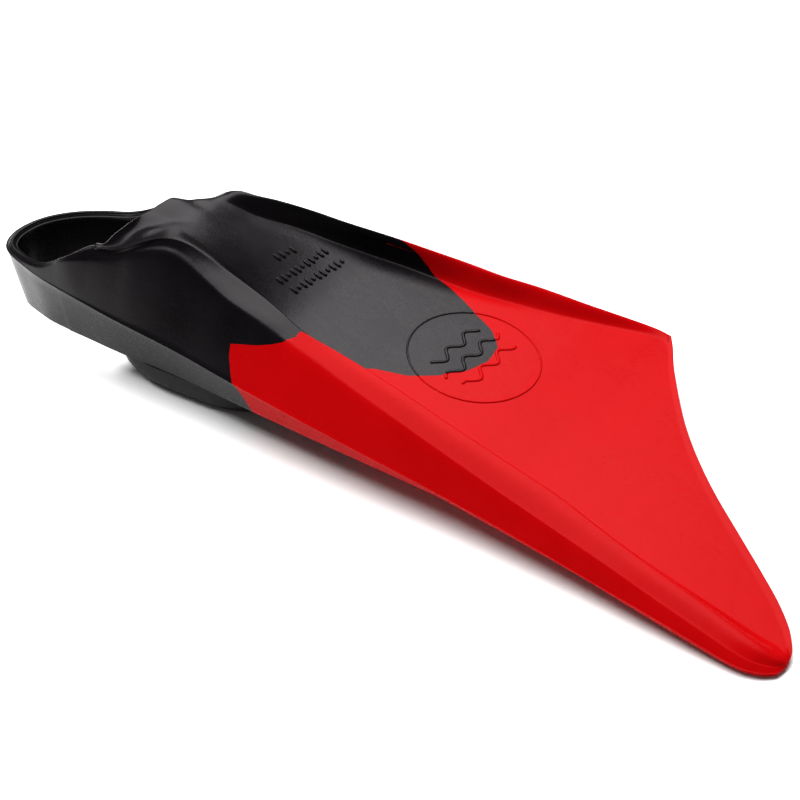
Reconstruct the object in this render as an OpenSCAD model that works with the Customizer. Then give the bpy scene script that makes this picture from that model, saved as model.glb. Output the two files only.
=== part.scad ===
// Bodyboarding swim fin for the right foot, moulded in black and red rubber.
// +X points to the blade's tip, +Y to the big-toe side, +Z up. The fin stands on Z = 0,
// on its sole pad and on the tip, and the origin is under the middle of its bounding box.
//
// The shape is drawn on the mould's parting plane (z = 0 in the drawing) and then tipped
// nose-down and lifted into its resting place by the module rest().

/* [Fin] */
// Length along the parting plane, heel band to tip
fin_length = 428; // [400:1:460]
// Width over the heel corner and the blade's far corner
fin_width = 168; // [155:1:185]
// Height of the foot opening's lip over the parting plane
lip_height = 44; // [40:0.5:48]
// Nose-down slope of the parting plane when the fin rests
rest_pitch = 5.9; // [5.5:0.1:6.3]

/* [Foot pocket] */
// Thickness of the pocket's side walls
wall = 5.5; // [4.5:0.5:7]
// Thickness of the roof over the foot
roof = 5.5; // [4.5:0.5:6.5]
// Thickness of the sole plate
sole = 6; // [5:0.5:8]
// Depth of the walls and heel band under the parting plane, at the heel
heel_depth = 31; // [28:0.5:33]
// Thickness of the heel band
band = 6; // [5:0.5:7]
// Diameter of each drain hole in the sole
drain_d = 9; // [6:0.5:10]
// Number of drain holes
drain_count = 3; // [1:1:4]

/* [Blade] */
// Thickness of the web where it leaves the pocket
web_root = 10; // [8:0.5:12]
// Thickness of the trailing edge
web_edge = 2.6; // [2:0.1:3.5]

/* [Flexing] */
// How far the blade bends each way
blade_flex = 20; // [10:1:22]
// How far the heel band swings up and forward
strap_up = 20; // [10:1:22]
// How far the heel band is pushed down
strap_down = 10; // [5:1:12]
// Gap between pieces that move against each other
gap = 0.4; // [0.3:0.05:0.6]

/* [Hidden] */

// The curves below are drawn for a fin of these sizes, and are scaled to the sizes above.
drawn_length = 428;
drawn_width = 168;
drawn_lip = 44;
kx = fin_length / drawn_length;
ky = fin_width / drawn_width;
kz = lip_height / drawn_lip;

// Parting line in plan, [x, y], little-toe side and big-toe side
outer_edge = [[38, -9], [70, -11.5], [110, -13], [145, -16], [200, -19.5], [260, -22.5],
              [320, -28], [370, -34], [400, -37], [408, -37], [415, -35], [420, -31], [423, -25]];
inner_edge = [[38, 62], [60, 66], [97, 74], [125, 84], [158, 96], [193, 107], [226, 116],
              [246, 121], [265, 126], [285, 131.5]];
// Trailing edge, from the far corner to the tip
trailing_edge = [[285, 131.5], [298, 108], [317, 82], [332, 65], [351, 47], [372, 30],
                 [392, 14], [405, 3], [415, -8], [420, -17], [423, -25]];
// Crest of the outer rail, which starts as the pocket's ridge: plan and height
outer_crest = [[38, -7], [55, -2], [69, 0], [77, 2], [85, 6], [100, 10], [120, 11], [144, 9],
               [168, 4], [184, 4], [211, 2], [250, -2], [281, -5], [306, -8], [335, -14],
               [362, -19], [387, -23], [405, -27], [415, -27.5], [420, -26.5], [423, -25]];
outer_crest_z = [[38, 15.5], [48, 22.5], [54, 25.7], [58, 26.6], [63, 28.4], [69, 31.3], [77, 37.5],
                 [85, 41], [92, 42.5], [100, 41.5], [110, 38.5], [120, 35.5], [144, 31],
                 [168, 27.5], [184, 25.5], [211, 23.5], [250, 19.5], [281, 16.5], [306, 14.5],
                 [335, 12], [362, 10], [387, 8], [410, 5.5], [423, 2]];
// Rounded shoulder between the rail's top and its flank
outer_shoulder = [[38, -8.5], [55, -4], [62, -2.6], [69, -0.9], [77, 0.8], [85, 3.8], [92, 5.4],
                  [100, 6], [108, 5.4], [118, 3.8], [128, 2.4], [148, 1], [161, 0],
                  [205, -6.5], [245, -12], [282, -16.5], [315, -21], [341, -25], [360, -27.5],
                  [400, -33], [410, -33], [415, -31.5], [420, -28.8], [423, -25]];
outer_shoulder_z = [[38, 12.5], [48, 19], [55, 22.8], [62, 25.4], [69, 28.8], [77, 34], [85, 37.5],
                    [92, 38.8], [100, 37.8], [108, 35.6], [118, 32.8], [128, 30.4],
                    [148, 28.2], [161, 26], [205, 22], [245, 17.5], [282, 13.5], [315, 11],
                    [341, 9.5], [360, 8], [400, 5], [423, 2]];
// The same for the inner rail, which ends at the far corner
inner_crest = [[38, 58], [55, 55], [77, 54], [97, 58], [109, 65.5], [122, 72.8], [137, 78.8],
               [158, 85.8], [175, 90.8], [193, 96.3], [209, 100.8], [226, 107.6], [246, 114.4],
               [265, 121.6], [277, 126.5], [285, 131]];
inner_crest_z = [[38, 7], [47, 14], [54, 20.5], [60, 22.8], [66, 25.3], [72, 28.3], [77, 32],
                 [82, 36.8], [87, 40.4], [92, 42.2], [100, 41.3], [109, 39], [122, 35.2],
                 [137, 31.8], [158, 28.8], [175, 26.4], [193, 23.6], [209, 21], [226, 18],
                 [246, 14], [265, 10], [277, 6.5], [285, 2]];
inner_shoulder = [[38, 60.5], [60, 59], [77, 58], [97, 61.5], [109, 68.2], [122, 75.6],
                  [137, 81.6], [158, 88.8], [175, 93.8], [193, 99.3], [209, 103.8], [226, 110.2],
                  [246, 116.6], [265, 123.2], [277, 127.6], [285, 131.3]];
// Where the inner rail's slope meets the web
inner_foot = [[60, 27], [72, 28.5], [78, 33], [84, 41], [92, 48.5], [104, 55],
              [118, 65], [135, 73], [151, 79.5], [168, 84.5], [185, 88],
              [198, 90.5], [214, 95.5], [233, 102], [250, 110], [270, 121], [279, 127],
              [285, 131.5]];
// Width of the outer crest's slope down to the web
outer_slope = [[60, 20], [80, 20], [92, 23], [104, 21], [120, 14], [140, 8.5], [200, 6], [300, 7],
               [400, 8]];
// Height of the roof's trough and then of the web
web_top = [[70, 44], [76, 43.3], [82, 41.9], [90, 39.8], [104, 33.6], [118, 28.2], [135, 22.7],
           [151, 18.8], [168, 16.5], [185, 14.5], [200, 13], [214, 11.8], [233, 10], [250, 8.5],
           [270, 6.5], [290, 5], [320, 4], [360, 3.4], [423, 2]];
// Underside of the walls and rails
rail_floor = [[0, -heel_depth], [250, -heel_depth + 250 * tan(rest_pitch) * kx], [281, -4.4],
              [321, -3.6], [423, -2.2]];
// Mould draft: how far the walls lean in below the parting plane
side_draft = 0.22;
back_draft = 0.42;

// Heel band: its outline in plan round the heel, one entry per step, and its rim's height by x
heel_x = 38;
heel_line_x = [[0, 38], [1, 24], [2, 12.5], [3, 4], [4, -1.5], [5, -5], [6, -7], [7, -6.8],
               [8, -4.8], [9, -0.5], [10, 6], [11, 15], [12, 26], [13, 38]];
heel_line_y = [[0, -9], [1, -7.4], [2, -4.7], [3, -2.2], [4, 0.8], [5, 5.5], [6, 12.5], [7, 20],
               [8, 28], [9, 36], [10, 43.8], [11, 51], [12, 57.3], [13, 62]];
near_rim = [[-8, 1.8], [5, 2], [14, 3], [25, 6.3], [32, 10.3], [38, 15.5], [48, 22.5], [60, 27]];
far_rim = [[-8, 1.8], [16, 2], [28, 2.8], [38, 7], [47, 14], [60, 22]];

// Stations
lip_middle_x = 74;
lip_side_x = 57;
sole_back_x = 57;
toe_x = 180;
colour_x = 146;
merge_x = 385;
web_tip_x = 409;
corner_x = 285;
tip_x = 422;

// Hinge lines that stand for the rubber's flexing, in the drawing
blade_pivot = [200, 4];
blade_core = 4;
strap_pivot = [46, -8];
strap_core = 5;
// Angle that keeps the faces apart at the ends of the travel
clear_angle = 2.2;
reach = 260;

// How far bonded neighbours stay off each other's edge
seam = 0.2;

// Sole pad: centre and half-sizes of its top and of its flat bottom
pad_x = 104.5;
pad_y = 31;
pad_top = [49.5, 38.5];
pad_flat = [35, 30];
pad_power = 3.2;

// Resting place: the tip's underside touches Z = 0, and the sole pad fills up to the sole
rest_lift = tip_x * kx * sin(rest_pitch) + 2.21 * cos(rest_pitch);
sole_rest_z = rest_lift - heel_depth * cos(rest_pitch);
centre_x = 207.5 * kx;
centre_y = 47.14 * ky;

// Smooth curve through a list of [x, value] pairs
function span(t, x, i = 0) = (i >= len(t) - 2 || x < t[i + 1][0]) ? i : span(t, x, i + 1);
function slope(t, i) =
    let (a = max(i - 1, 0), b = min(i + 1, len(t) - 1))
    (t[b][1] - t[a][1]) / (t[b][0] - t[a][0]);
function curve(t, x) =
    let (i = span(t, x), h = t[i + 1][0] - t[i][0])
    let (u = max(0, min(1, (x - t[i][0]) / h)), v = 1 - u)
    t[i][1] * v * v * (1 + 2 * u) + t[i + 1][1] * u * u * (1 + 2 * v)
    + slope(t, i) * h * u * v * v - slope(t, i + 1) * h * u * u * v;
function smooth(u) = let (v = max(0, min(1, u))) v * v * (3 - 2 * v);
function mix(a, b, u) = a + (b - a) * u;
function steps(a, b, n) = [for (i = [0 : n]) mix(a, b, i / n)];

// Where the outer crest's slope meets the web, and where the web ends against the rail,
// which takes up the whole width at the tip
function outer_foot(x) = curve(outer_crest, x) + curve(outer_slope, x);
function rail_side(x) =
    mix(outer_foot(x), curve(trailing_edge, x), smooth((x - merge_x) / (web_tip_x + 2 - merge_x)));
// Height of the top between the two crests
function top_z(x, y) =
    let (yo = curve(outer_crest, x), w = curve(outer_slope, x), zw = curve(web_top, x))
    let (yi = curve(inner_crest, x), wi = max(1, yi - curve(inner_foot, x)))
    let (a = 1 - smooth((y - yo) / w), b = x < corner_x ? 1 - smooth((yi - y) / wi) : 0)
    zw + a * (curve(outer_crest_z, x) - zw) + b * (curve(inner_crest_z, x) - zw);
function web_thickness(x) =
    curve([[180, web_root + 1], [200, web_root], [225, web_root * 0.8], [260, web_root * 0.6],
           [300, web_root * 0.4], [340, 3], [423, web_edge - 0.4]], x);

// Outline of a wall's outside, [y, z] from its bottom corner up to the crest.
// side is -1 for the outer side and 1 for the inner side.
function flank(x, side) =
    let (e = curve(side < 0 ? outer_edge : inner_edge, x))
    let (s = curve(side < 0 ? outer_shoulder : inner_shoulder, x))
    let (zs = curve(side < 0 ? outer_shoulder_z : inner_crest_z, x) - (side < 0 ? 0 : 1.5))
    let (c = curve(side < 0 ? outer_crest : inner_crest, x))
    let (zc = curve(side < 0 ? outer_crest_z : inner_crest_z, x))
    let (zb = curve(rail_floor, x), eb = e + side * side_draft * zb)
    [[eb - side * 3, zb], [eb - side * 0.8, zb + 0.9], [eb, zb + min(3, -zb / 2)], [e, 0],
     [mix(e, s, 0.3), zs * 0.36], [mix(e, s, 0.62), zs * 0.72], [mix(e, s, 0.84), zs * 0.93],
     [s, zs], [mix(s, c, 0.5), mix(zs, zc, 0.6)], [c, zc]];

// Inside of a wall, from under the roof down to the sole plate's underside
function lining(x, side) =
    let (e = curve(side < 0 ? outer_edge : inner_edge, x))
    let (s = curve(side < 0 ? outer_shoulder : inner_shoulder, x))
    let (zs = curve(side < 0 ? outer_shoulder_z : inner_crest_z, x))
    let (zb = curve(rail_floor, x), foot = e + side * side_draft * zb - side * wall)
    let (j = joint_y(x, side))
    [[j, top_z(x, j)], [j, top_z(x, j) - roof],
     [mix(s - side * wall, j, 0.35), top_z(x, j) - roof - 1.2],
     [mix(e - side * wall, s - side * wall, 0.75), min(zs * 0.72, top_z(x, j) - roof - 3)],
     [e - side * wall, 0], [foot, zb + sole], [foot, zb]];
// Where the roof meets a wall
function joint_y(x, side) =
    side < 0 ? curve(outer_crest, x) + 3 : curve(inner_crest, x) - 3;

// Closed solid through a list of rings with the same number of points. Flat ends are
// one face each. In a paired ring, point j lies over point n - 1 - j, and an end that
// isn't flat is a strip between the two.
module loft(rings, paired = false) {
    n = len(rings[0]);
    m = len(rings);
    sides = [for (i = [0 : m - 2], j = [0 : n - 1])
        let (a = i * n + j, b = i * n + (j + 1) % n)
        each [[a, b, b + n], [a, b + n, a + n]]];
    first = paired ? strip(n, 0, false) : [[for (j = [n - 1 : -1 : 0]) j]];
    last = paired ? strip(n, (m - 1) * n, true) : [[for (j = [0 : n - 1]) (m - 1) * n + j]];
    polyhedron([for (r = rings) each r], concat(first, sides, last), convexity = 8);
}
function strip(n, at, ahead) =
    [for (j = [0 : n / 2 - 2])
        let (a = at + j, b = at + j + 1, c = at + n - 2 - j, d = at + n - 1 - j)
        each ahead ? [[a, b, c], [a, c, d]] : [[c, b, a], [d, c, a]]];
// Ring at station x from [y, z] points, scaled to the driving sizes
function ring(x, points) = [for (p = points) place(x, p[0], p[1])];
function place(x, y, z) = [x * kx, y * ky, z > 0 ? z * kz : z];
function reversed(p) = [for (i = [len(p) - 1 : -1 : 0]) p[i]];

// Tips the drawing into its resting place
module rest() {
    translate([-centre_x, -centre_y, rest_lift])
        rotate([0, rest_pitch, 0])
            children();
}

// Plate cut by a plane region drawn in x and z, across the whole width
module across() {
    translate([0, reach, 0])
        rotate([90, 0, 0])
            linear_extrude(2 * reach)
                children();
}
// Wedge that opens from a pivot, between two directions
module sector(pivot, from, to) {
    translate([pivot[0] * kx, pivot[1]])
        polygon(concat([[0, 0]],
            [for (a = steps(from, to, 6)) reach * 1.5 * [cos(a), sin(a)]]));
}
module core(pivot, r) {
    translate([pivot[0] * kx, pivot[1]])
        circle(r, $fn = 64);
}
// What belongs to the blade, and what the pocket leaves free for it
module blade_zone() {
    half = 90 - blade_flex / 2 - clear_angle;
    across() {
        sector(blade_pivot, -half, half);
        core(blade_pivot, blade_core);
    }
}
module blade_room() {
    half = 90 + blade_flex / 2 + clear_angle;
    across() {
        sector(blade_pivot, -half, half);
        core(blade_pivot, blade_core + gap);
    }
}
// The same for the heel band
module strap_zone() {
    across() {
        sector(strap_pivot, 90 + strap_up / 2 + clear_angle, 270 - strap_down / 2 - clear_angle);
        core(strap_pivot, strap_core);
    }
}
module strap_room() {
    across() {
        sector(strap_pivot, 90 - strap_up / 2 - clear_angle, 270 + strap_down / 2 + clear_angle);
        core(strap_pivot, strap_core + gap);
    }
}

// Heel band: straight sides that run back into a round heel
function heel_point(t) = [curve(heel_line_x, t), curve(heel_line_y, t)];
function band_ring(x, y, nx, ny, lean) =
    let (rim = rim_at(x, y), zb = curve(rail_floor, max(0, x)))
    [for (p = [[-zb * lean + 1.5, zb], [-zb * lean, zb + 2], [0, 0], [0.6, rim - 1.5],
               [2, rim], [band - 1.5, rim], [band, rim - 1.5], [band, -2],
               [-zb * lean + band, zb + 2], [-zb * lean + band - 1.5, zb]])
        place(x - nx * p[0], y - ny * p[0], p[1])];
function rim_at(x, y) = mix(curve(near_rim, x), curve(far_rim, x), smooth((y - 8) / 30));
module heel_strap() {
    color([0.16, 0.15, 0.16])
        rest()
            intersection() {
                loft(concat(
                    [for (x = [56, 50, 44]) side_band(x, -1)],
                    [for (t = steps(0.4, 12.6, 28)) turn_band(t)],
                    [for (x = [44, 50, 56]) side_band(x, 1)]));
                strap_zone();
            }
}
function side_band(x, side) =
    band_ring(x, curve(side < 0 ? outer_edge : inner_edge, x), 0, side, side_draft);
function turn_band(t) =
    let (p = heel_point(t), q = heel_point(t + 0.2) - heel_point(t - 0.2), d = norm(q))
    band_ring(p[0], p[1], -q[1] / d, q[0] / d, mix(side_draft, back_draft, pow(q[1] / d, 2)));

// Side walls of the pocket, and the rails' first stretch
module side_wall(x0, x1, n, side) {
    loft([for (x = steps(x0, x1, n))
        ring(x, (side < 0) == (x0 < x1) ? reversed(concat(flank(x, side), lining(x, side)))
                                        : concat(flank(x, side), lining(x, side)))]);
}
module outer_pocket_wall() {
    color([0.16, 0.15, 0.16])
        rest()
            difference() {
                side_wall(heel_x, colour_x, 24, -1);
                strap_room();
            }
}
module inner_pocket_wall() {
    color([0.16, 0.15, 0.16])
        rest()
            difference() {
                side_wall(heel_x, colour_x, 24, 1);
                strap_room();
            }
}
module outer_rail_root() {
    color([0.85, 0.05, 0.07])
        rest()
            difference() {
                side_wall(206, colour_x, 10, -1);
                blade_room();
            }
}
module inner_rail_root() {
    color([0.85, 0.05, 0.07])
        rest()
            difference() {
                side_wall(206, colour_x, 10, 1);
                blade_room();
            }
}

// Roof over the foot. Its back edge is the curved lip of the opening.
function lip_x(u) = mix(lip_middle_x, lip_side_x, pow(abs(2 * u - 1), 2.2));
module instep_bridge() {
    across_n = 20;
    color([0.16, 0.15, 0.16])
        rest()
            loft([for (u = steps(0, 1, across_n))
                let (along = steps(0, 1, 14), x0 = lip_x(u))
                let (xs = [for (k = along) mix(x0, toe_x, k)])
                concat(
                    [for (x = xs) roof_point(x, u, 0)],
                    [for (x = reversed(xs)) roof_point(x, u, roof)])], paired = true);
}
function roof_point(x, u, down) =
    let (y = mix(joint_y(x, -1) + seam, joint_y(x, 1) - seam, u))
    place(x, y, top_z(x, y) - down);

// Sole plate with drain holes, hollowed at the back for the heel
function sole_x(u) = mix(sole_back_x + 12, sole_back_x, pow(abs(2 * u - 1), 2));
function sole_y(x, side) =
    let (e = curve(side < 0 ? outer_edge : inner_edge, x), zb = curve(rail_floor, x))
    e + side * side_draft * zb - side * (wall + seam);
module footbed() {
    color([0.14, 0.13, 0.14])
        rest()
            difference() {
                loft([for (u = steps(0, 1, 12))
                    let (xs = [for (k = steps(0, 1, 10)) mix(sole_x(u), toe_x, k)])
                    concat(
                        [for (x = xs) sole_point(x, u, sole)],
                        [for (x = reversed(xs)) sole_point(x, u, 0)])], paired = true);
                for (i = [0 : drain_count - 1])
                    translate([165 * kx, mix(18, 62, (i + 0.5) / drain_count) * ky, -60])
                        cylinder(h = 90, d = drain_d, $fn = 48);
            }
}
function sole_point(x, u, up) =
    place(x, mix(sole_y(x, -1), sole_y(x, 1), u), curve(rail_floor, x) + up);

// Thick pad under the arch. Its flat bottom is what the fin stands on.
function pad_outline(half, z) =
    [for (a = [0 : 10 : 350])
        let (p = 2 / pad_power)
        [pad_x * kx - centre_x + half[0] * sign(cos(a)) * pow(abs(cos(a)), p),
         pad_y * ky - centre_y + half[1] * sign(sin(a)) * pow(abs(sin(a)), p), z]];
module sole_pad() {
    color([0.14, 0.13, 0.14])
        loft([for (a = steps(0, 90, 6))
            pad_outline([mix(pad_flat[0], pad_top[0], sin(a)), mix(pad_flat[1], pad_top[1], sin(a))],
                        sole_rest_z * (1 - cos(a)))]);
}

// Solid rubber between the toes and the blade
module toe_block() {
    color([0.16, 0.15, 0.16])
        rest()
            difference() {
                loft([for (x = steps(toe_x, 206, 5)) ring(x, toe_points(x))]);
                blade_room();
            }
}
function toe_points(x) =
    let (yo = joint_y(x, -1) + seam, yi = joint_y(x, 1) - seam)
    let (top = [for (u = steps(0, 1, 12)) let (y = mix(yo, yi, u)) [y, top_z(x, y)]])
    let (left = lining(x, -1), right = lining(x, 1))
    concat(reversed(top), [for (i = [1 : 6]) left[i] + [seam, 0]],
           [for (i = [6 : -1 : 1]) right[i] - [seam, 0]]);

// Blade: two rails and the web between them
function under_z(x, y) = top_z(x, y) - web_thickness(x);
module outer_rail() {
    color([0.85, 0.05, 0.07])
        rest()
            intersection() {
                loft([for (x = concat(steps(190, 400, 26), steps(404, tip_x, 8)))
                    ring(x, reversed(concat(flank(x, -1), rail_inside(x, -1))))]);
                blade_zone();
            }
}
function rail_inside(x, side) =
    let (j = side < 0 ? rail_side(x) : curve(inner_foot, x))
    let (c = curve(side < 0 ? outer_crest : inner_crest, x))
    let (zb = curve(rail_floor, x))
    [[mix(c, j, 0.35), top_z(x, mix(c, j, 0.35))], [mix(c, j, 0.7), top_z(x, mix(c, j, 0.7))],
     [j, top_z(x, j)], [j, under_z(x, j)], [mix(c, j, 0.4), mix(under_z(x, j), zb, 0.75)],
     [mix(c, j, 0.1), zb]];
module inner_rail() {
    color([0.85, 0.05, 0.07])
        rest()
            intersection() {
                loft([for (x = concat(steps(190, 276, 16), [279, 282, 284]))
                    ring(x, concat(flank(x, 1), rail_inside(x, 1)))]);
                blade_zone();
            }
}
module web() {
    loft([for (x = concat(steps(190, corner_x, 15), steps(corner_x + 7, web_tip_x, 16)))
        let (ys = steps(rail_side(x) + 3 * seam, web_side(x) - seam, 10))
        ring(x, concat([for (y = reversed(ys)) [y, top_z(x, y)]],
                       [for (y = ys) [y, under_z(x, y)]]))], paired = true);
}
function web_side(x) = x < corner_x ? curve(inner_foot, x) : curve(trailing_edge, x);
// Round end of the black tongue on the web
module tongue_outline() {
    translate([0, 0, -60])
        linear_extrude(120)
            polygon([for (p = concat(
                [[150, 0], [190, 14], [206, 20]],
                [for (a = steps(-70, 60, 8)) [206, 52] + 26 * [cos(a), sin(a)]],
                [[205, 79], [190, 88], [150, 104]]))
                [p[0] * kx, p[1] * ky]]);
}
module blade_web() {
    color([0.88, 0.06, 0.07])
        rest()
            intersection() {
                difference() {
                    web();
                    tongue_outline();
                }
                blade_zone();
            }
}
module web_tongue() {
    color([0.17, 0.16, 0.17])
        rest()
            intersection() {
                web();
                tongue_outline();
                blade_zone();
            }
}

heel_strap();
outer_pocket_wall();
inner_pocket_wall();
instep_bridge();
footbed();
sole_pad();
toe_block();
outer_rail_root();
inner_rail_root();
outer_rail();
inner_rail();
blade_web();
web_tongue();
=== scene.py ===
"""Bodyboarding swim fin, right foot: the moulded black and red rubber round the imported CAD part.

The shape is drawn in millimetres on the mould's parting plane (z = 0), x along the fin from the
heel, -y on the little-toe side, and then tipped into the row frame by rest().
"""

import math

import bmesh
import bpy
import numpy as np
from mathutils import Matrix, Vector


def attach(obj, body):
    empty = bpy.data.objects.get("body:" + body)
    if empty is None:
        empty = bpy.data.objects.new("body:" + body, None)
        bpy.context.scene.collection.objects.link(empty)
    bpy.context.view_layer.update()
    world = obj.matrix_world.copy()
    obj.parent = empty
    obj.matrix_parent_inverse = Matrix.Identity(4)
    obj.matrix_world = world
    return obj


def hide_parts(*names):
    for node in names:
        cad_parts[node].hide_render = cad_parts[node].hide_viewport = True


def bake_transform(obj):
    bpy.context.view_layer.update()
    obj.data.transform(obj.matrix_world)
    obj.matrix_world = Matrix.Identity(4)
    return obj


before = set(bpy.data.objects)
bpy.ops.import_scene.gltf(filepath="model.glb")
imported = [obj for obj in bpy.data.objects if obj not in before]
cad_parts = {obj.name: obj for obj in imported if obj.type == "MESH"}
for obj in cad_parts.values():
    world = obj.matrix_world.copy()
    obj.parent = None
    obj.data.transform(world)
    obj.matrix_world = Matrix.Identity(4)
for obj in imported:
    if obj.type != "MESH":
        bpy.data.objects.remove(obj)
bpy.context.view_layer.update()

# ---------------------------------------------------------------- the drawing's curves, in mm
# A table holds [x, value] pairs. OUTER is the little-toe side and INNER the big-toe side.
PITCH = math.radians(5.9)
CENTRE = (207.5, 47.14)
LIFT = 422 * math.sin(PITCH) + 2.21 * math.cos(PITCH)
# Parting line in plan
OUTER_EDGE = [[38, -9], [70, -11.5], [110, -13], [145, -16], [200, -19.5], [260, -22.5],
              [320, -28], [370, -34], [400, -37], [408, -37], [415, -35.2], [420, -32], [422, -29.4],
              [423, -24.5]]
INNER_EDGE = [[38, 62], [60, 66], [97, 74], [125, 84], [158, 96], [193, 107], [226, 116],
              [246, 121], [265, 126], [277, 129.2], [282, 129.9], [285, 128.4]]
TRAILING_EDGE = [[285, 128.4], [287, 125.6], [290, 121.2], [298, 108], [317, 82], [332, 65],
                 [351, 47], [372, 30], [392, 14], [405, 3], [415, -7.4], [420, -14.8],
                 [422, -19.2], [423, -24.5]]
# Crest of each rail, the shoulder below it, and where its slope meets the web
OUTER_CREST = [[38, -7], [55, -2], [69, 0], [77, 2], [85, 6], [100, 10], [120, 11], [144, 9],
               [168, 4], [184, 4], [211, 2], [250, -2], [281, -5], [306, -8], [335, -14],
               [362, -19], [387, -23], [405, -26], [415, -26.5], [420, -25.5], [423, -24.5]]
OUTER_CREST_Z = [[38, 15.5], [48, 22.3], [54, 25.5], [58, 26.6], [63, 28.4], [69, 31.6],
                 [77, 37.3], [85, 41], [92, 42.3], [100, 41.5], [110, 38.5], [120, 35.5],
                 [144, 31], [168, 27.5], [184, 25.5], [211, 23.5], [250, 19.5], [281, 16.5],
                 [306, 14.5], [335, 12], [362, 10], [387, 8], [410, 5.5], [423, 2]]
OUTER_SHOULDER = [[38, -8.5], [55, -4], [62, -2.6], [69, -0.9], [77, 0.8], [85, 3.8], [92, 5.8],
                  [100, 6.6], [108, 5.8], [118, 4], [128, 2.4], [148, 1], [161, 0], [205, -6.5],
                  [245, -12], [282, -16.5], [315, -21], [341, -25], [360, -27.5], [400, -33],
                  [410, -33], [415, -31.5], [420, -28.6], [423, -24.5]]
OUTER_SHOULDER_Z = [[38, 12.5], [48, 19.3], [55, 23], [62, 25.6], [69, 29.2], [77, 34.4], [85, 37.9],
                    [92, 39.3], [100, 38.3], [108, 36], [118, 33.2], [128, 30.8], [148, 28.2],
                    [161, 26], [205, 22], [245, 17.5], [282, 13.5], [315, 11], [341, 9.5],
                    [360, 8], [400, 5], [423, 2]]
INNER_CREST = [[38, 58], [55, 55], [77, 54], [97, 58], [109, 65.5], [122, 72.8], [137, 78.8],
               [158, 85.8], [175, 90.8], [193, 96.3], [209, 100.8], [226, 107.6], [246, 114.4],
               [265, 121.6], [277, 126], [285, 127.7]]
INNER_CREST_Z = [[38, 7], [47, 14], [54, 20.5], [60, 22.8], [66, 25.3], [72, 28.3], [77, 32],
                 [82, 36.8], [87, 40.4], [92, 42.2], [100, 41.3], [109, 39], [122, 35.2],
                 [137, 31.8], [158, 28.8], [175, 26.4], [193, 23.6], [209, 21], [226, 18],
                 [246, 14.2], [265, 10.2], [277, 7.5], [285, 5.6]]
INNER_SHOULDER = [[38, 60.5], [60, 59], [77, 58], [97, 61.5], [109, 68.2], [122, 75.6],
                  [137, 81.6], [158, 88.8], [175, 93.8], [193, 99.3], [209, 103.8], [226, 110.2],
                  [246, 116.6], [265, 123.2], [277, 127], [285, 128.1]]
INNER_FOOT = [[60, 27], [72, 28.5], [78, 33], [84, 41], [92, 48.5], [104, 55], [118, 65],
              [135, 73], [151, 79.5], [168, 84.5], [185, 88], [198, 90.5], [214, 95.5],
              [233, 102], [250, 109], [270, 118.5], [279, 121.5], [285, 122.9]]
OUTER_SLOPE = [[54, 9], [61, 10], [65, 13], [70, 16.5], [80, 16], [92, 9], [104, 6],
               [120, 5.5], [140, 6], [200, 6], [300, 7], [400, 8]]
# Top of the web, how far the roof lifts beside the outer ridge, the lowest line, and thickness
WEB_TOP = [[70, 44], [76, 43.3], [82, 41.9], [90, 39.8], [104, 33.6], [118, 28.2], [135, 22.7],
           [151, 18.8], [168, 16.5], [185, 14.5], [200, 13], [214, 11.8], [233, 10], [250, 8.5],
           [270, 6.5], [290, 5], [320, 4], [360, 3.4], [423, 2]]
RIDGE_SIDE = [[70, 0], [80, 0.3], [92, 3], [104, 6.5], [114, 7], [124, 5.5], [138, 3],
              [152, 1], [165, 0]]
FLOOR = [[0, -32.6], [60, -32.3 + 60 * math.tan(PITCH)], [120, -31 + 120 * math.tan(PITCH)],
         [250, -31 + 250 * math.tan(PITCH)], [281, -4.4], [321, -3.6], [423, -2.2]]
THICKNESS = [[180, 11], [200, 10], [225, 8], [260, 6], [300, 4], [340, 3], [423, 2.2]]

WALL, ROOF = 5.5, 5.5           # thickness of the pocket's walls and roof
RIM_WALL, RIM_ROOF = 4.6, 3.8   # and near the rim
BAND = 5.0                      # thickness of the heel band
DRAFT = 0.22                    # how far the low sides lean in for each mm below the parting line
HEEL_DRAFT = 0.225              # and how far the heel band does
HEEL_X = 38.0                   # where the heel's turn begins
HEEL_SLOPE = {-1: -0.11, 1: 0.39}   # slope of the parting line there, near and far side
LIP_SIDE_X = 54.0               # where the lip leaves the walls
CUT_X = 112.0                   # where the rear and front black pieces meet
CORNER_X = 285.0
TIP_ROUND_X, TIP_X = 418.5, 423.0
TIP_MIDDLE_Z = -0.2
SOLE_BACK_X = 57.0
TOE_X = 183.0                   # where the pocket ends and the blade's channel begins
LIP = [[56.6, -1.6, 27.6], [58.9, -0.2, 30.5], [61.3, 2.1, 33.4], [64.4, 6.0, 36.7],
       [67.0, 10.5, 39.2], [69.8, 17.0, 41.6], [72.0, 24.0, 43.9], [73.2, 29.4, 45.6],
       [73.4, 33.6, 43.2], [71.2, 39.0, 37.2], [67.4, 44.5, 31.8], [63.0, 49.0, 27.6],
       [58.5, 52.6, 24.0]]
# Parting line round the heel in plan, and the rim's height on its near and far side
HEEL_LINE = [[38, -9], [24, -7.4], [12.5, -4.7], [4, -2.2], [-1.5, 0.8], [-5, 5.5], [-7, 12.5],
             [-6.8, 20], [-4.8, 28], [-0.5, 36], [6, 43.8], [15, 51], [26, 57.3], [38, 62]]
NEAR_RIM = [[-7, 1.2], [5, 1.8], [14, 3], [25, 6.3], [32, 10.6], [38, 15.5], [48, 22.3], [54, 25.5],
            [64, 28]]
FAR_RIM = [[-7, 1.2], [5, 1.4], [16, 1.8], [28, 2.8], [38, 7], [47, 14], [54, 20.5], [64, 24]]
BLADE_BEND = ((176, 0, 4), (226, 0, 4))    # start and end of each bend, on the drawing; bend() only bakes each piece's transform and bends nothing
HEEL_BEND = ((60, 0, -8), (16, 0, -8))

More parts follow.
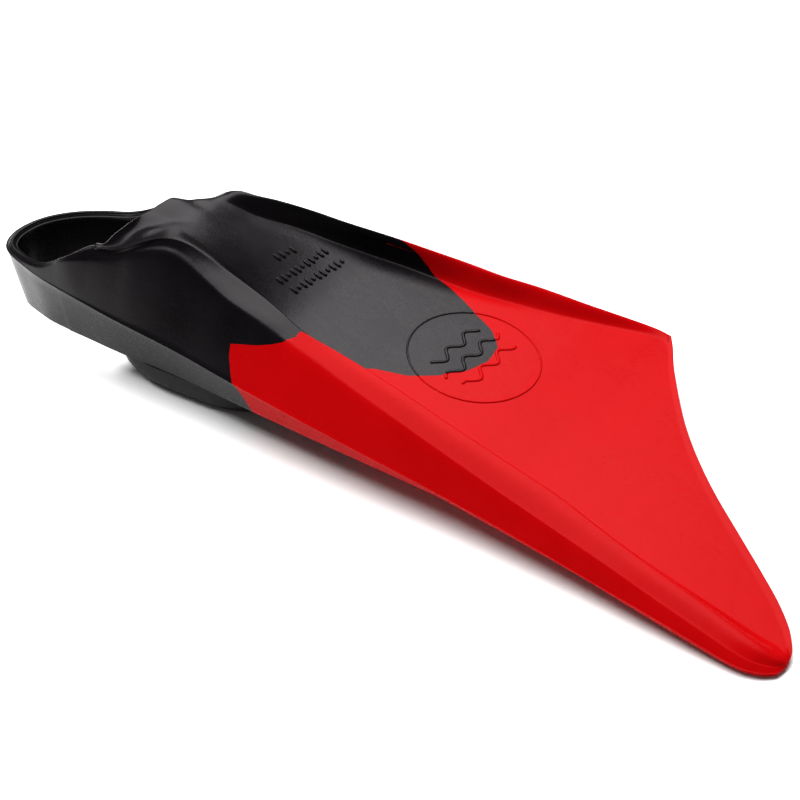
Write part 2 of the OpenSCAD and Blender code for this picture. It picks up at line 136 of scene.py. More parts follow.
PAD_PLACE = (104.5, 31.0)
PAD_FLAT, PAD_TOP = (35.0, 30.0), (49.5, 38.5)    # half-sizes of its flat bottom and widest line
PAD_ROOT = (46.0, 34.0)                           # and of its end inside the sole
PAD_POWER = 3.2                                   # 2 is an ellipse, more is squarer
DRAINS, DRAIN_X, DRAIN_SPAN, DRAIN_RADIUS = 3, 165.0, (18.0, 62.0), 4.5

RING = (225.0, 54.0, 30.0)                        # centre and radius of the round mark
WAVES = [(215, 17), (224, 21), (233, 19)]         # x and half width of each wave in it
WAVE_HEIGHT, WAVE_LENGTH = 2.3, 14.0
TICK_ROWS = [((144.7, 65.7), (141.7, 32.2), 11), ((135.7, 64.7), (134.4, 31.1), 11),
             ((126.1, 52.7), (124.8, 42.0), 4)]   # first and last place, and how many


def curve(table, x):
    """Smooth curve through [x, value] pairs, the same as in the CAD part."""
    p = np.array(table, float)
    px, py = p[:, 0], p[:, 1]
    n = len(px)
    lo, hi = np.maximum(np.arange(n) - 1, 0), np.minimum(np.arange(n) + 1, n - 1)
    m = (py[hi] - py[lo]) / (px[hi] - px[lo])
    i = np.clip(np.searchsorted(px, x, side="right") - 1, 0, n - 2)
    h = px[i + 1] - px[i]
    u = np.clip((x - px[i]) / h, 0, 1)
    v = 1 - u
    return (py[i] * v * v * (1 + 2 * u) + py[i + 1] * u * u * (1 + 2 * v)
            + m[i] * h * u * v * v - m[i + 1] * h * u * u * v)


def smooth(u):
    u = np.clip(u, 0, 1)
    return u * u * (3 - 2 * u)


def mix(a, b, u):
    return a + (b - a) * u


def rest(p):
    """Points on the drawing, in mm, to the row frame, in metres."""
    p = np.asarray(p, float)
    x, y, z = p[..., 0], p[..., 1], p[..., 2]
    c, s = math.cos(PITCH), math.sin(PITCH)
    return np.stack([x * c + z * s - CENTRE[0], y - CENTRE[1], -x * s + z * c + LIFT], -1) / 1000


def far_edge(x):
    return np.where(x < CORNER_X, curve(INNER_EDGE, x), curve(TRAILING_EDGE, x))


def tip_room(x):
    """1 along the trailing edge, down to 0 where the outline closes at the tip."""
    return np.clip((curve(TRAILING_EDGE, x) - curve(OUTER_CREST, x)) / 16, 0, 1)


def inner_crest(x):
    return np.where(x < CORNER_X, curve(INNER_CREST, x),
                    curve(TRAILING_EDGE, x) - 0.7 * tip_room(x))


def inner_foot(x):
    return np.where(x < CORNER_X, curve(INNER_FOOT, x),
                    curve(TRAILING_EDGE, x) - 5.5 * tip_room(x))


def outer_foot(x):
    return np.minimum(curve(OUTER_CREST, x) + curve(OUTER_SLOPE, x),
                      mix(curve(OUTER_CREST, x), far_edge(x), 0.42))


def ease_in(a):
    """A steep slope that turns softly into the web: 1 at the crest, 0 at its foot."""
    a = np.clip(a, 0, 1)
    return 1 - smooth(a)


def top_z(x, y):
    yo, w, zw = curve(OUTER_CREST, x), outer_foot(x) - curve(OUTER_CREST, x), curve(WEB_TOP, x)
    yi = inner_crest(x)
    zw = zw + curve(RIDGE_SIDE, x) * (1 - np.clip((y - yo) / (0.8 * (yi - yo)), 0, 1)) ** 1.4
    wi = np.maximum(1, yi - inner_foot(x))
    a, b = ease_in((y - yo) / np.maximum(w, 0.2)), ease_in((yi - y) / wi)
    zi = np.where(x < CORNER_X, curve(INNER_CREST_Z, x), zw + 0.4)
    return zw + a * (curve(OUTER_CREST_Z, x) - zw) + b * (zi - zw)


def under_z(x, y):
    return top_z(x, y) - curve(THICKNESS, x)


def blade_share(x):
    """0 in the pocket, up to 1 on the blade."""
    return smooth((x - TOE_X) / 16)


def rim_share(x):
    """1 on the free rim of the heel band, down to 0 where the roof joins the walls."""
    return 1 - smooth((x - 50) / 16)


def ridge_share(x):
    """0 at the lip, up to 1 where the ridge has its full height."""
    return smooth((x - 78) / 16)


def shell(x):
    """Thickness of the wall and of the roof, both thinner near the rim."""
    return mix(RIM_WALL, WALL, smooth((x - 60) / 40)), mix(RIM_ROOF, ROOF, smooth((x - 60) / 30))


# ---------------------------------------------------------------- profiles across the fin
def spline_weights(segments):
    """Rows of weights on the ten flank points, creased at point 3, which is the parting line."""
    rows = []
    for j, n in enumerate(segments):
        for k in range(n):
            u = k / n
            w = np.zeros(10)
            for q, b in zip((j - 1, j, j + 1, j + 2), (
                    -0.5 * u + u * u - 0.5 * u ** 3, 1 - 2.5 * u * u + 1.5 * u ** 3,
                    0.5 * u + 2 * u * u - 1.5 * u ** 3, -0.5 * u * u + 0.5 * u ** 3)):
                lo, hi = (0, 3) if j < 3 else (3, 9)
                w[min(max(q, lo), hi)] += b
            rows.append(w)
    last = np.zeros(10)
    last[9] = 1
    return np.array(rows + [last])


SEGMENTS = [2, 2, 8, 7, 6, 5, 4, 4, 4]
FLANK = spline_weights(SEGMENTS)
NF = len(FLANK)
PART = sum(SEGMENTS[:3])                   # the column that lies on the parting line
NS, NW = 20, 58                            # columns on each slope and on the web between them
FLASH = 0.3                                # how far the hair of flash on it stands out


def flank_points(x, side):
    """The ten outer points of the side wall at each x, as y and z, bottom edge to crest."""
    if side < 0:
        e, s, c = curve(OUTER_EDGE, x), curve(OUTER_SHOULDER, x), curve(OUTER_CREST, x)
        zs, zc = curve(OUTER_SHOULDER_Z, x), curve(OUTER_CREST_Z, x)
        zb = curve(FLOOR, x)
    else:
        e, c = far_edge(x), inner_crest(x)
        s = np.where(x < CORNER_X, curve(INNER_SHOULDER, x), mix(e, c, 0.35))
        zc = top_z(x, c)
        zs = zc - np.where(x < CORNER_X, np.minimum(2.2, (CORNER_X - x) * 0.06 + 0.3), 0.3)
        zb = mix(curve(FLOOR, x), under_z(x, c), smooth((x - 250) / 35))
    late = smooth((x - 165) / 40)
    zs = zs - (1.2 * late if side < 0 else 0)
    k = np.clip((zs - zb) / 12, 0.06, 1)
    zp = np.maximum(0, mix(zb, zs, 0.4)) * smooth((1 - k) / 0.35)
    eb = e + side * DRAFT * (zb - zp) * np.minimum(1, k)
    y = [eb - side * 3 * k, eb - side * 0.8 * k, eb, e, mix(e, s, 0.3), mix(e, s, 0.62),
         mix(e, s, 0.84), s, mix(s, c, 0.55), c]
    z = [zb, zb + 0.9 * k, zb + 3 * k, zp, mix(zp, zs, 0.36), mix(zp, zs, 0.72),
         mix(zp, zs, 0.93), zs, mix(zs, zc, mix(0.55, 0.84, late) if side < 0 else 0.65), zc]
    return np.stack(y, -1), np.stack(z, -1)


def flash(side, y, col):
    """A hair of moulding flash along the parting line."""
    return y + side * np.where(np.asarray(col) == PART, FLASH, 0.0)


def lined(x, side, y, z, f, a):
    """Inside of the pocket's shell for the outer points y, z. f runs 0 to 1 up the flank and a
    0 to 1 down the slope behind the crest."""
    up = smooth((f - 0.72) / 0.28)
    free, ridge = rim_share(x), ridge_share(x)
    wall, roof = shell(x)
    yi = y - side * wall * mix(1, 0.55 * (1 - ridge), up * (1 - free)) * (1 - a)
    yi = yi + side * 1.3 * ridge * np.sin(math.pi * a)
    zi = z - roof * mix(up * (1 - free), 1, a) - 0.5 * up * free
    return yi, zi


def beneath(x, side, f, a):
    """Underside of the blade: flat under the rail, then up the channel's side to the web."""
    c = curve(OUTER_CREST, x) if side < 0 else inner_crest(x)
    j = outer_foot(x) if side < 0 else inner_foot(x)
    yb, zb = flank_points(x, side)
    low = mix(c, j, 0.12)
    y = np.where(a > 0, mix(low, j, a), mix(yb[..., 0], low, f))
    z = np.where(a > 0, mix(zb[..., 0], under_z(x, j), smooth(a * 1.05)), zb[..., 0])
    return y, z


def section(x):
    """x has a column for each column of the profile. Gives the outer and inner points."""
    morph = blade_share(x)
    outer, inner = np.zeros(x.shape + (3,)), np.zeros(x.shape + (3,))
    outer[..., 0] = inner[..., 0] = x
    n = x.shape[1]
    for side in (-1, 1):
        cols = np.arange(NF) if side < 0 else n - 1 - np.arange(NF)
        xs = x[:, cols]
        py, pz = flank_points(xs, side)
        y = flash(side, (py * FLANK[None]).sum(-1), np.arange(NF)[None])
        z = (pz * FLANK[None]).sum(-1)
        f = np.linspace(0, 1, NF)[None] + 0 * xs
        iy, iz = lined(xs, side, y, z, f, 0 * xs)
        by, bz = beneath(xs, side, f, 0 * xs)
        m = morph[:, cols]
        outer[:, cols, 1], outer[:, cols, 2] = y, z
        inner[:, cols, 1], inner[:, cols, 2] = mix(iy, by, m), mix(iz, bz, m)
        cols = NF + np.arange(NS) if side < 0 else n - 1 - NF - np.arange(NS)
        xs, m = x[:, cols], morph[:, cols]
        a = ((np.arange(NS) + 1) / NS)[None] + 0 * xs
        c = curve(OUTER_CREST, xs) if side < 0 else inner_crest(xs)
        j = outer_foot(xs) if side < 0 else inner_foot(xs)
        y = mix(c, j, a)
        z = top_z(xs, y)
        iy, iz = lined(xs, side, y, z, 1 + 0 * xs, a)
        by, bz = beneath(xs, side, 1 + 0 * xs, a)
        outer[:, cols, 1], outer[:, cols, 2] = y, z
        inner[:, cols, 1], inner[:, cols, 2] = mix(iy, by, m), mix(iz, bz, m)
    cols = np.arange(NF + NS, n - NF - NS)
    xs, m = x[:, cols], morph[:, cols]
    u = ((np.arange(len(cols)) + 1) / (len(cols) + 1))[None]
    y = mix(outer_foot(xs), inner_foot(xs), u)
    z = top_z(xs, y)
    outer[:, cols, 1], outer[:, cols, 2] = y, z
    inner[:, cols, 1] = y
    inner[:, cols, 2] = mix(z - shell(xs)[1], under_z(xs, y), m)
    return outer, inner


COLUMNS = 2 * NF + 2 * NS + NW

# Where black meets red: x at each place across the profile. Up the outer flank (0 to 1), over
# the outer slope (1 to 2), across the web by y, over the inner slope and down the inner flank.
SEAM_OUTER = [[0, 153.5], [0.16, 149.5], [0.286, 143.5], [0.5, 136.3], [0.53, 142], [0.58, 151],
              [0.66, 159], [0.8, 163.5], [1, 167.5], [1.08, 180], [1.2, 189], [2, 192]]
SEAM_WEB = [[9, 192], [14.7, 193.5], [18.2, 198.5], [23.5, 209.8], [31.6, 219.3], [37.3, 223],
            [46.5, 228.2], [53.9, 230.8], [59, 231.4], [64.7, 230.1], [69.4, 226.7],
            [75.3, 219.2], [79.8, 209.1], [83.4, 200.5], [86.4, 190.9], [88, 184]]
SEAM_INNER = [[0, 152], [0.2, 150], [0.5, 151], [0.8, 158], [1, 162], [1.2, 166], [1.5, 175],
              [2, 184]]


def seam_x():
    """x of the colour boundary for every column, with the slight waver of hand-laid rubber."""
    x = np.zeros(COLUMNS)
    f = np.linspace(0, 1, NF)
    a = (np.arange(NS) + 1) / NS
    x[:NF] = curve(SEAM_OUTER, f)
    x[NF:NF + NS] = curve(SEAM_OUTER, 1 + a)
    x[::-1][:NF] = curve(SEAM_INNER, f)
    x[::-1][NF:NF + NS] = curve(SEAM_INNER, 1 + a)
    cols = np.arange(NF + NS, COLUMNS - NF - NS)
    xs = np.full(len(cols), 200.0)
    u = (np.arange(len(cols)) + 1) / (len(cols) + 1)
    for _ in range(40):
        y = mix(outer_foot(xs), inner_foot(xs), u)
        xs = mix(xs, curve(SEAM_WEB, np.clip(y, 9, 88)), 0.5)
    x[cols] = xs
    k = np.arange(COLUMNS)
    waver = np.sin(k * 0.9) * 0.25 + np.sin(k * 0.37 + 1) * 0.45 + np.sin(k * 1.9 + 2) * 0.15
    x += waver * np.where((k > PART + 6) & (k < COLUMNS - PART), 1, 0.4)
    return x


SEAM = seam_x()


# ---------------------------------------------------------------- meshes
class Mesh:
    """Vertices and faces that become one object."""

    def __init__(self):
        self.points, self.faces, self.count = [], [], 0

    def add(self, points):
        points = np.asarray(points, float)
        shape = points.shape[:-1]
        self.points.append(points.reshape(-1, 3))
        ids = self.count + np.arange(int(np.prod(shape))).reshape(shape)
        self.count += ids.size
        return ids

    def grid(self, ids, flip=False):
        a, b, c, d = ids[:-1, :-1], ids[1:, :-1], ids[1:, 1:], ids[:-1, 1:]
        quads = np.stack([a, d, c, b] if flip else [a, b, c, d], -1).reshape(-1, 4)
        self.faces += quads.tolist()

    def make(self, name, smooth_angle=38.0):
        mesh = bpy.data.meshes.new(name)
        points = rest(np.concatenate(self.points))
        faces = []
        for face in self.faces:
            keep = [v for i, v in enumerate(face) if v != face[i - 1]]
            if len(set(keep)) > 2:
                faces.append(keep)
        mesh.from_pydata(points.tolist(), [], faces)
        mesh.update()
        o = bpy.data.objects.new(name, mesh)
        bpy.context.scene.collection.objects.link(o)
        tidy(o, smooth_angle)
        return o


def tidy(o, smooth_angle):
    """Welds doubled points, drops slivers, turns faces outwards and marks sharp edges."""
    bm = bmesh.new()
    bm.from_mesh(o.data)
    bmesh.ops.remove_doubles(bm, verts=bm.verts, dist=2e-6)
    bmesh.ops.dissolve_degenerate(bm, edges=bm.edges, dist=1e-6)
    loose = [v for v in bm.verts if not v.link_faces]
    bmesh.ops.delete(bm, geom=loose, context="VERTS")
    bmesh.ops.recalc_face_normals(bm, faces=bm.faces)
    if bm.calc_volume(signed=True) < 0:
        bmesh.ops.reverse_faces(bm, faces=bm.faces)
    for face in bm.faces:
        face.smooth = True
    limit = math.radians(smooth_angle)
    for edge in bm.edges:
        edge.smooth = not (edge.is_manifold and edge.calc_face_angle(0) > limit)
    bm.to_mesh(o.data)
    bm.free()


def arc(a, b, away, n, bulge=0.7):
    """Points of a rounded edge from a to b that bulges away."""
    half = (b - a) / 2
    r = np.linalg.norm(half, axis=-1, keepdims=True)
    t = np.linspace(0, math.pi, n + 1)[1:-1]
    return np.stack([a + half * (1 - math.cos(k)) + away * r * bulge * math.sin(k) for k in t], 1)


# ---------------------------------------------------------------- rear of the pocket
BACK = np.linspace(0, 1, 40) ** 1.35       # rows from the lip back to the cut, closer at the lip


def through(points, u):
    """Smooth line through the points at each u, which runs 0 to 1 along it."""
    p = np.asarray(points, float)
    run = np.concatenate([[0], np.cumsum(np.linalg.norm(np.diff(p, axis=0), axis=1))])
    return np.stack([curve(np.stack([run, q], 1), u * run[-1]) for q in p.T], -1)


def rim_height(x, y):
    return mix(curve(NEAR_RIM, x), curve(FAR_RIM, x), smooth((y - 8) / 30))


def band_points(p, normal, lean):
    """Outer and inner points of the heel band where its outline passes p."""
    rim, zb = rim_height(p[:, 0], p[:, 1]), curve(FLOOR, np.maximum(0, p[:, 0]))
    low = -zb * lean
    off = [low + 2.2, low + 0.7, low, 0 * rim, 0 * rim + 0.1, 0 * rim + 0.25, 0 * rim + 0.45,
           0 * rim + 0.75, 0 * rim + 1.1, 0 * rim + 1.6]
    z = [zb, zb + 0.8, zb + 2.6, 0 * rim, mix(0, rim - 0.9, 0.36), mix(0, rim - 0.9, 0.7),
         mix(0, rim - 0.9, 0.9), rim - 0.9, rim - 0.45, rim]
    ioff = [low + BAND - 1.6, low + BAND - 0.6, low + BAND] + [BAND + 0 * rim] * 4 + [
        BAND - 0.4 + 0 * rim, BAND - 0.9 + 0 * rim, BAND - 1.5 + 0 * rim]

    def place(offsets, heights):
        off, z = np.stack(offsets, -1), np.stack(heights, -1)
        xy = p[:, None, :] - normal[:, None, :] * off[..., None]
        return np.concatenate([xy, z[..., None]], -1)

    return place(off, z), place(ioff, z)


def roof_inside(x, y, z):
    """Inside of the roof for its outer points."""
    a = np.clip((y - curve(OUTER_CREST, x)) / (outer_foot(x) - curve(OUTER_CREST, x)), 0, 1)
    b = np.clip((inner_crest(x) - y) / (inner_crest(x) - inner_foot(x)), 0, 1)
    free = rim_share(x)
    wall, roof = shell(x)
    wall = wall * mix(0.55, 1, free) * (1 - ridge_share(x))
    edge = 1 - a * b
    return y + wall * (b - a), z - roof * mix(1, 1 - free, edge) - 0.5 * edge * free


def walls_and_band():
    """Outer and inner profiles from the cut, round the heel and back to the cut."""
    stations = np.concatenate([mix(LIP_SIDE_X, CUT_X, BACK)[::-1],
                               np.linspace(LIP_SIDE_X, HEEL_X, 18)[1:]])
    rows_o, rows_i = [], []
    for side in (-1, 1):
        edge = OUTER_EDGE if side < 0 else INNER_EDGE
        x = stations
        py, pz = flank_points(x[:, None] + np.zeros((1, NF)), side)
        y, z = (py * FLANK[None]).sum(-1), (pz * FLANK[None]).sum(-1)
        f = np.linspace(0, 1, NF)[None] + 0 * y
        xs = x[:, None] + 0 * y
        iy, iz = lined(xs, side, y, z, f, 0 * xs)
        wall_o, wall_i = np.stack([xs, y, z], -1), np.stack([xs, iy, iz], -1)
        slope = mix(HEEL_SLOPE[side], curve(edge, x + 1) - curve(edge, x),
                    smooth((x - HEEL_X) / 12))
        normal = np.stack([-side * slope, side + 0 * x], -1)
        normal /= np.linalg.norm(normal, axis=1, keepdims=True)
        bo, bi = band_points(np.stack([x, curve(edge, x)], -1), normal, DRAFT)
        band_o = np.einsum("kj,rjc->rkc", FLANK, bo)
        band_i = np.einsum("kj,rjc->rkc", FLANK, bi)
        w = smooth((x - HEEL_X) / 16)[:, None, None]
        o, i = mix(band_o, wall_o, w), mix(band_i, wall_i, w)
        o[:, PART, 1] += side * FLASH
        rows_o.append(o if side < 0 else o[::-1])
        rows_i.append(i if side < 0 else i[::-1])
    turn = np.linspace(0, 1, 92)[1:-1]
    p = through(HEEL_LINE, turn)
    t = through(HEEL_LINE, turn + 0.004) - through(HEEL_LINE, turn - 0.004)
    t /= np.linalg.norm(t, axis=1, keepdims=True)
    normal = np.stack([-t[:, 1], t[:, 0]], -1)
    bo, bi = band_points(p, normal, HEEL_DRAFT)
    band_o = np.einsum("kj,rjc->rkc", FLANK, bo)
    band_i = np.einsum("kj,rjc->rkc", FLANK, bi)
    band_o[:, PART, :2] += normal * FLASH
    return (np.concatenate([rows_o[0], band_o, rows_o[1]]),
            np.concatenate([rows_i[0], band_i, rows_i[1]]))


def roof_rows(start, end):
    """Outer and inner points of the roof, from the lip between start and end to the cut."""
    cols = 2 * NS + NW
    lip = through([start, *LIP, end], np.linspace(0, 1, cols + 2))[1:-1]
    x = lip[None, :, 0] + (CUT_X - lip[None, :, 0]) * BACK[:, None]
    full = np.concatenate([np.repeat(x[:, :1], NF, 1), x, np.repeat(x[:, -1:], NF, 1)], 1)
    usual, _ = section(full)
    y = mix(lip[None, :, 1], usual[:, NF:NF + cols, 1], smooth(BACK * 1.4)[:, None])
    flare = lip[:, 2] - top_z(lip[:, 0], lip[:, 1])
    flare = np.convolve(np.pad(flare, 10, mode="edge"), np.ones(21) / 21, mode="valid")
    fade = 1 - smooth((x - lip[None, :, 0]) / 22)
    z = top_z(x, y) + flare[None] * fade
    iy, iz = roof_inside(x, y, z)
    return np.stack([x, y, z], -1), np.stack([x, iy, iz], -1)


def round_rim(m, loop_o, loop_i, near):
    """Joins the two loops of the rim by a rounded edge that bulges away from the points near."""
    pts = np.concatenate(m.points)
    a, b, c = pts[loop_o], pts[loop_i], pts[near]
    tangent = np.roll(a, -1, 0) - np.roll(a, 1, 0)
    away = np.cross(tangent, b - a)
    away /= np.linalg.norm(away, axis=1, keepdims=True)
    away *= np.sign(((a - c) * away).sum(1, keepdims=True))
    away = sum(np.roll(away, j, 0) for j in range(-8, 9))
    away /= np.linalg.norm(away, axis=1, keepdims=True)
    edge = m.add(arc(a, b, away, 8))
    strip = np.concatenate([loop_o[:, None], edge, loop_i[:, None]], 1)
    m.grid(np.concatenate([strip, strip[:1]]), True)


def pocket_rear():
    """Heel band, side walls and the roof with its lip, as one closed shell."""
    n = len(BACK)
    so, si = walls_and_band()
    k = len(so)
    m = Mesh()
    fo, fi = m.add(so), m.add(si)
    m.grid(fo)
    m.grid(fi, True)
    outer, inner = roof_rows(so[n - 1, -1], so[k - n, -1])
    ro = np.empty((n, outer.shape[1] + 2), int)
    ri = np.empty_like(ro)
    ro[:, 1:-1] = m.add(outer)
    ri[:, 1:-1] = m.add(inner)
    ro[:, 0], ri[:, 0] = fo[:n][::-1, -1], fi[:n][::-1, -1]
    ro[:, -1], ri[:, -1] = fo[k - n:, -1], fi[k - n:, -1]
    m.grid(ro, True)
    m.grid(ri)
    # The rim runs along the crest round the heel, then back over the lip.
    crest = slice(n - 1, k - n + 1)
    round_rim(m, np.concatenate([fo[crest, -1], ro[0, -2:0:-1]]),
              np.concatenate([fi[crest, -1], ri[0, -2:0:-1]]),
              np.concatenate([fo[crest, -3], ro[2, -2:0:-1]]))
    m.grid(np.stack([fo[:, 0], fi[:, 0]], 1), True)
    cap_o = np.concatenate([fo[0, :-1], ro[-1], fo[-1, -2::-1]])
    cap_i = np.concatenate([fi[0, :-1], ri[-1], fi[-1, -2::-1]])
    m.grid(np.stack([cap_o, cap_i], 1))
    return m.make("pocket_rear")


def slab(name, start, end, rows):
    """The shell between two lines across the fin, one x for each column, round at the tip."""
    g = np.asarray(rows)[:, None]
    x = mix(start[None], end[None], g)
    o, i = section(x)
    far = ((x - TIP_ROUND_X) / (TIP_X - TIP_ROUND_X)).clip(0, 1)
    thin = np.sqrt(1 - far ** 2)
    for part in (o, i):
        z = part[..., 2]
        part[..., 2] = np.where(x > TIP_ROUND_X, TIP_MIDDLE_Z + (z - TIP_MIDDLE_Z) * thin, z)
    m = Mesh()
    oi, ii = m.add(o), m.add(i)
    m.grid(oi)
    m.grid(ii, True)
    for r, flip in ((0, False), (-1, True)):
        m.grid(np.stack([oi[r], ii[r]], 1), flip)
    for c, flip in ((0, True), (-1, False)):
        m.grid(np.stack([oi[:, c], ii[:, c]], 1), flip)
    return m.make(name)


def sole_plate():
    """Sole of the pocket, which fills the toe and ramps up under the web."""
    xs = np.concatenate([np.linspace(SOLE_BACK_X, 74, 12), np.linspace(76, 170, 40),
                         np.linspace(171.5, 186, 16), np.linspace(187.5, 236, 36)])
    v = np.linspace(0, 1, 61)
    x, v = np.meshgrid(xs, v, indexing="ij")
    late = blade_share(x)
    yo = curve(OUTER_EDGE, x) - DRAFT * curve(FLOOR, x) + 4
    yi = curve(INNER_EDGE, x) + DRAFT * curve(FLOOR, x) - 4
    y0 = mix(yo, mix(curve(OUTER_CREST, x), outer_foot(x), 0.12) - 1.2, late)
    y1 = mix(yi, mix(inner_crest(x), inner_foot(x), 0.12) + 1.2, late)
    y = mix(y0, y1, v)
    # the back edge curves in, most at its middle
    back = (1 - (2 * v - 1) ** 2) * 12 * (1 - (x - SOLE_BACK_X) / 113).clip(0, 1) ** 3
    x = x + back
    zb = curve(FLOOR, x) + 0.15
    roof_z = top_z(x, np.clip(y, outer_foot(x), inner_foot(x)))
    cover = mix(roof_z - ROOF, roof_z - curve(THICKNESS, x), late) + 0.6
    rise = smooth((x - 170) / 13) * smooth((np.minimum(y - yo, yi - y) - 0.5) / 7)
    dish = 1.2 * (1 - (2 * v - 1) ** 4)
    top = mix(zb + 6 - dish, cover, rise)
    bottom = mix(zb, cover - 0.9, smooth((x - 197) / 34))
    top = np.maximum(top, bottom + 0.4)
    edge = np.clip((x - back - SOLE_BACK_X) / 3.0, 0, 1)
    mid = (top + bottom) / 2
    lift = np.sqrt(1 - (1 - edge) ** 2)
    top, bottom = mix(mid, top, lift), mix(mid, bottom, lift)
    m = Mesh()
    a = m.add(np.stack([x, y, top], -1))
    b = m.add(np.stack([x, y, bottom], -1))
    m.grid(a)
    m.grid(b, True)
    for r, flip in ((0, False), (-1, True)):
        m.grid(np.stack([a[r], b[r]], 1), flip)
    for c, flip in ((0, True), (-1, False)):
        m.grid(np.stack([a[:, c], b[:, c]], 1), flip)
    o = m.make("sole")
    for i in range(DRAINS):
        drill(o, (DRAIN_X, mix(*DRAIN_SPAN, (i + 0.5) / DRAINS), -14), DRAIN_RADIUS, 40)
    return o


def drill(o, centre, radius, length):
    """Cuts a round hole through the sole."""
    bpy.ops.mesh.primitive_cylinder_add(vertices=48, radius=radius / 1000, depth=length / 1000)
    cutter = bpy.context.active_object
    cutter.matrix_world = Matrix.Translation(Vector(rest(np.array(centre, float)).tolist())) @ \
        Matrix.Rotation(PITCH, 4, "Y")
    mod = o.modifiers.new("hole", "BOOLEAN")
    mod.operation, mod.solver, mod.object = "DIFFERENCE", "EXACT", cutter
    bpy.context.view_layer.update()
    shape = bpy.data.meshes.new_from_object(o.evaluated_get(bpy.context.evaluated_depsgraph_get()))
    o.modifiers.clear()
    o.data = shape
    bpy.data.objects.remove(cutter)
    tidy(o, 38)


def sole_pad():
    """Thick pad under the arch that the fin stands on."""
    height = LIFT - 31 * math.cos(PITCH)
    t = np.radians(np.arange(0, 360, 3.0))
    p = 2 / PAD_POWER
    ex = np.sign(np.cos(t)) * np.abs(np.cos(t)) ** p
    ey = np.sign(np.sin(t)) * np.abs(np.sin(t)) ** p
    rings = []

    def ring(half_x, half_y, z):
        rings.append(np.stack([half_x * ex, half_y * ey, z + 0 * t], -1))

    for k in [0.02, 0.2, 0.4, 0.6, 0.8, 0.92]:
        ring(PAD_FLAT[0] * k, PAD_FLAT[1] * k, 0)
    for a in np.linspace(0, math.pi / 2, 25):
        u = math.sin(a)
        ring(mix(PAD_FLAT[0], PAD_TOP[0], u), mix(PAD_FLAT[1], PAD_TOP[1], u),
             height * (1 - math.cos(a)))
    for k in [1, 0.8, 0.5, 0.02]:
        ring(PAD_ROOT[0] * k, PAD_ROOT[1] * k, height + 2)
    m = Mesh()
    g = np.array(rings)
    g[..., 0] += PAD_PLACE[0] - CENTRE[0]
    g[..., 1] += PAD_PLACE[1] - CENTRE[1]
    ids = m.add(g)
    ids = np.concatenate([ids, ids[:, :1]], 1)
    m.grid(ids)
    m.faces.append(ids[0, :-1].tolist())
    m.faces.append(ids[-1, :-1][::-1].tolist())
    mesh = bpy.data.meshes.new("sole_pad_rubber")
    mesh.from_pydata((np.concatenate(m.points) / 1000).tolist(), [], m.faces)
    o = bpy.data.objects.new("sole_pad_rubber", mesh)
    bpy.context.scene.collection.objects.link(o)
    tidy(o, 38)
    return o


# ---------------------------------------------------------------- raised marks on the top
def is_black(x, y):
    """True where the top is black rubber."""
    return x < curve(SEAM_WEB, np.clip(y, 9, 88))


def cord_runs(path):
    """Splits a path on the web into runs of one colour each."""
    black = is_black(path[:, 0], path[:, 1])
    runs, start = [], 0
    for i in range(1, len(path) + 1):
        if i == len(path) or black[i] != black[start]:
            runs.append((bool(black[start]), path[start:min(i + 1, len(path))]))
            start = i
    return runs


def bead(m, path, width, height):
    """Adds a raised line with a rounded top along a path on the fin's top surface."""
    path = np.asarray(path, float)
    t = np.gradient(path, axis=0)
    t /= np.linalg.norm(t, axis=1, keepdims=True) + 1e-9
    side = np.stack([-t[:, 1], t[:, 0]], -1)
    taper = np.minimum(1, np.minimum(np.arange(len(path)), np.arange(len(path))[::-1]) / 1.0 + 0.35)
    profile = [(-0.5, -0.5), (-0.5, 0.25), (-0.36, 0.72), (0, 1.0), (0.36, 0.72), (0.5, 0.25),
               (0.5, -0.5)]
    rows = []
    for u, h in profile:
        xy = path + side * (u * width * taper)[:, None]
        z = top_z(xy[:, 0], xy[:, 1]) + h * height * (taper if h > 0 else 1)
        rows.append(np.concatenate([xy, z[:, None]], 1))
    ids = m.add(np.stack(rows, 1))
    ring = np.concatenate([ids, ids[:, :1]], 1)
    m.grid(ring)
    m.faces.append(ids[0].tolist())
    m.faces.append(ids[-1][::-1].tolist())


def marks():
    """A ring with waves over the colour boundary, and rows of size ticks on the roof."""
    lines = {True: Mesh(), False: Mesh()}
    a = np.radians(np.linspace(-90, 270, 221))
    ring = np.stack([RING[0] + RING[2] * np.cos(a), RING[1] + RING[2] * np.sin(a)], -1)
    paths = [(ring, 0.95, 0.5)]
    for x, half in WAVES:
        y = np.linspace(RING[1] - half, RING[1] + half, 90)
        wave = x + WAVE_HEIGHT * np.sin((y - RING[1]) * 2 * math.pi / WAVE_LENGTH)
        paths.append((np.stack([wave, y], -1), 1.6, 0.6))
    for path, width, height in paths:
        for black, run in cord_runs(path):
            if len(run) > 3:
                bead(lines[black], run, width, height)
    made = [lines[True].make("ring_mark_black", 60), lines[False].make("ring_mark_red", 60)]
    ticks = Mesh()
    for r, (p, q, n) in enumerate(TICK_ROWS):
        for i in range(n):
            u = i / (n - 1)
            x, y = mix(p[0], q[0], u), mix(p[1], q[1], u)
            half = 2.3 if (i + r) % 3 else 1.3
            line = np.stack([np.linspace(x - half, x + half, 7), np.full(7, y)], -1)
            bead(ticks, line, 1.5, 0.9)
    made.append(ticks.make("size_ticks", 60))
    return made


